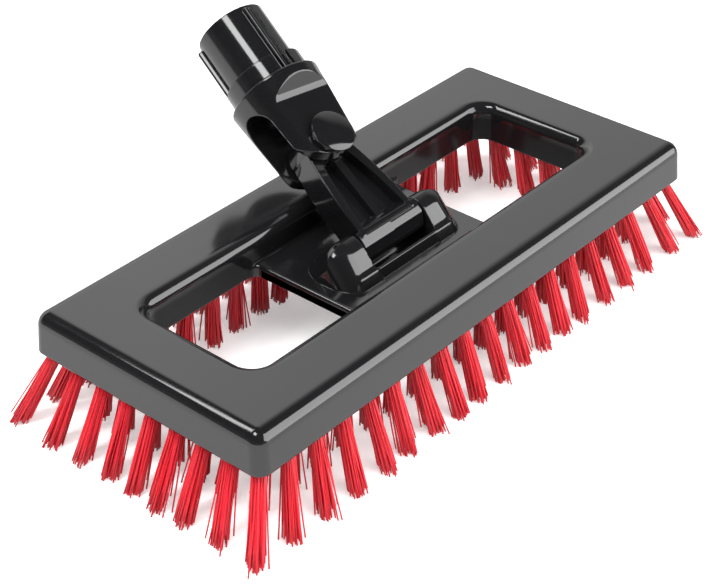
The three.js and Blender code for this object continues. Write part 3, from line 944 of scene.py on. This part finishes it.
# The light behind the object: its middle's azimuth, its level, and its edges as slopes from that middle
back_azimuth = math.radians(30)
back_level = 1.25
back_right = -0.85
back_left = 0.35
back_foot = 0.45
back_fade = 1.05
back_top = 1.75

# The room is lightest at the horizon, and even above room_rise
room_horizon = 0.25
room_above = 0.06
room_rise = math.radians(22)


def make_world():
    """A dim room with a broad soft light behind the object. It fades towards its right and its top."""
    nodes = Nodes(bpy.data.worlds.new("studio"), "Background", "Generated")
    turned = nodes.add("ShaderNodeMapping", vector=nodes.place, rotation=(0, 0, -back_azimuth))
    way = nodes.add("ShaderNodeSeparateXYZ", vector=turned.outputs["Vector"]).outputs
    across = nodes.math("DIVIDE", way["Y"], way["X"])
    rise = nodes.math("DIVIDE", way["Z"], way["X"])
    sides = nodes.ramp(across, back_right, back_left, 0, back_level)
    top = nodes.ramp(rise, back_fade, back_top, 1, 0)
    foot = nodes.ramp(rise, 0, back_foot)
    back = nodes.math("MULTIPLY", sides, nodes.math("MULTIPLY", top, foot))
    room = nodes.ramp(way["Z"], 0, math.sin(room_rise), room_horizon, room_above)
    level = nodes.math("ADD", back, room)
    bpy.context.scene.world = nodes.finish(color=(1, 1, 1, 1), strength=level)


# Camera

image_width = 711
sensor_width = 36.0
focal_pixels = 1779.1
camera_place = np.array([-396.46, -339.76, 345.21])
camera_target = np.array([-22.14, -7.94, 0.0])
camera_roll = math.radians(-0.864)
near_clip = 0.01


def make_camera():
    data = bpy.data.cameras.new("camera")
    data.sensor_width = sensor_width
    data.lens = focal_pixels / image_width * sensor_width
    data.clip_start = near_clip
    camera = bpy.data.objects.new("camera", data)
    look = Vector((camera_target - camera_place) / MM_PER_M)
    turn = look.to_track_quat("-Z", "Y").to_matrix() @ Matrix.Rotation(camera_roll, 3, "Z")
    camera.matrix_world = Matrix.Translation(Vector(camera_place / MM_PER_M)) @ turn.to_4x4()
    bpy.context.scene.collection.objects.link(camera)
    bpy.context.scene.camera = camera


# Assembly

def dress(piece, material, slot, body, *nodes):
    """Gives a piece its material and its body, and lets it stand for CAD nodes. The slot is not used."""
    piece.data.materials.clear()
    piece.data.materials.append(material)
    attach(piece, body)
    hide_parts(*nodes)


def build():
    make_camera()
    block_plastic = moulded_plastic(
        "block_plastic", block_dark, block_light, smooth=0.08, rough=0.13, painted_shade_places=window_wall_shade
    )
    swivel_plastic = moulded_plastic("swivel_plastic", swivel_dark, swivel_light, smooth=0.08, rough=0.13)
    pin_plastic = moulded_plastic("pin_plastic", swivel_dark, swivel_light, smooth=0.05, rough=0.09)
    filament = filament_plastic("bristle_filament", filament_deep, filament_bright)
    dress(make_block(), block_plastic, "block_plastic", "head", "brush_block")
    dress(make_link(), swivel_plastic, "swivel_plastic", "link", "swivel_link")
    dress(make_socket(), swivel_plastic, "swivel_plastic", "socket", "handle_socket")
    dress(make_pin(), pin_plastic, "swivel_plastic", "socket", "swing_pin")
    dress(make_cap(), pin_plastic, "swivel_plastic", "socket", "pin_cap")
    rails = [
        ("front", long_rail_tufts(-1)),
        ("back", long_rail_tufts(1)),
        ("left", end_rail_tufts(-1)),
        ("right", end_rail_tufts(1)),
    ]
    for seed, (side, places) in enumerate(rails):
        tufts = make_tufts(f"tufts_{side}", places, seed)
        dress(tufts, filament, "bristle_filament", "head", f"bristles_{side}")
    axle = frame["nodes"]["tilt_axle"]
    axle.data.materials.clear()
    axle.data.materials.append(drawn_steel("axle_steel", steel_dark, steel_light))
    make_floor()
    light_scene()
    make_world()
    bpy.context.scene.view_settings.view_transform = "Standard"


build()
